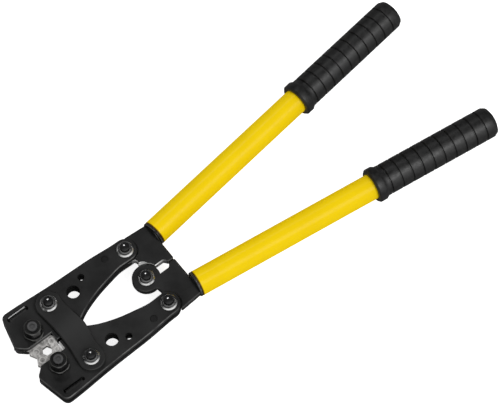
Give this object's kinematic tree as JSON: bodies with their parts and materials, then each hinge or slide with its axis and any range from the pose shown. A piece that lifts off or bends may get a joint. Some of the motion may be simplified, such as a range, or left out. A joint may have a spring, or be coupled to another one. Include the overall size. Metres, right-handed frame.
{
  "type": "crimping tool",
  "caption": "Two-handed compound-lever crimping tool with black jaw plates, turning hexagonal die wheels, yellow tube handles and black ribbed grips.",
  "frame": {"origin": "centre of the crimping nest, on the tool's mid-plane, with the tool closed", "axes": "+X along the tool from the nest to the handle ends, +Y towards the upper jaw, +Z out of the side with the nuts and die knobs"},
  "size_m": [0.3767, 0.1354, 0.0317],
  "materials": {
    "black_steel": "satin black oxide with pale worn bevels",
    "black_bolt": "black oxide steel, half gloss",
    "bright_washer": "plain bright steel, turned bevel",
    "grey_nut": "grey plated steel",
    "die_steel": "ground steel, mottled",
    "spring_steel": "spring steel strip",
    "yellow_paint": "glossy yellow paint",
    "black_rubber": "ribbed black rubber, half gloss"
  },
  "bodies": {
    "link": {"link_plate_front": "black_steel", "link_plate_back": "black_steel", "link_pivot_bolts": "black_bolt", "link_pivot_washers": "bright_washer", "link_pivot_nuts": "grey_nut"},
    "jaw_upper": {"upper_jaw_plate_front": "black_steel", "upper_jaw_plate_back": "black_steel", "upper_jaw_spacer_rivet": "black_bolt", "upper_die_wheel": "die_steel", "upper_die_axle": "black_bolt", "upper_die_knob": "black_bolt", "upper_detent_spring": "spring_steel", "upper_handle_pivot_bolt": "black_bolt", "upper_handle_pivot_washer": "bright_washer", "upper_handle_pivot_nut": "grey_nut"},
    "jaw_lower": {"lower_jaw_plate_front": "black_steel", "lower_jaw_plate_back": "black_steel", "lower_jaw_spacer_rivet": "black_bolt", "lower_die_wheel": "die_steel", "lower_die_axle": "black_bolt", "lower_die_knob": "black_bolt", "lower_detent_spring": "spring_steel", "lower_handle_pivot_bolt": "black_bolt", "lower_handle_pivot_washer": "bright_washer", "lower_handle_pivot_nut": "grey_nut"},
    "handle_upper": {"upper_handle_forging": "black_steel", "upper_handle_tube": "yellow_paint", "upper_handle_grip": "black_rubber"},
    "handle_lower": {"lower_handle_forging": "black_steel", "lower_handle_tube": "yellow_paint", "lower_handle_grip": "black_rubber", "centre_pivot_bolt": "black_bolt", "centre_pivot_washer": "bright_washer", "centre_pivot_nut": "grey_nut"}
  },
  "joints": [
    {"name": "handle_upper_pivot", "type": "hinge", "parent": "jaw_upper", "child": "handle_upper", "pos_m": [0.087, 0.0253, 0], "axis": [0, 0, 1], "range_deg": [0, 45]},
    {"name": "jaw_upper_pivot", "type": "hinge", "parent": "link", "child": "jaw_upper", "pos_m": [0.0202, 0.0248, 0], "axis": [0, 0, 1], "range_deg": [-5, 0]},
    {"name": "centre_pivot", "type": "hinge", "parent": "handle_upper", "child": "handle_lower", "pos_m": [0.0865, 0, 0], "axis": [0, 0, 1], "range_deg": [-80, 0]},
    {"name": "handle_lower_pivot", "type": "hinge", "parent": "handle_lower", "child": "jaw_lower", "pos_m": [0.087, -0.0253, 0], "axis": [0, 0, 1], "range_deg": [0, 45]}
  ],
  "couplings": [
    {"joint": "jaw_upper_pivot", "follows": "handle_upper_pivot", "ratio": -0.11111},
    {"joint": "centre_pivot", "follows": "handle_upper_pivot", "ratio": -1.7778},
    {"joint": "handle_lower_pivot", "follows": "handle_upper_pivot", "ratio": 1}
  ]
}
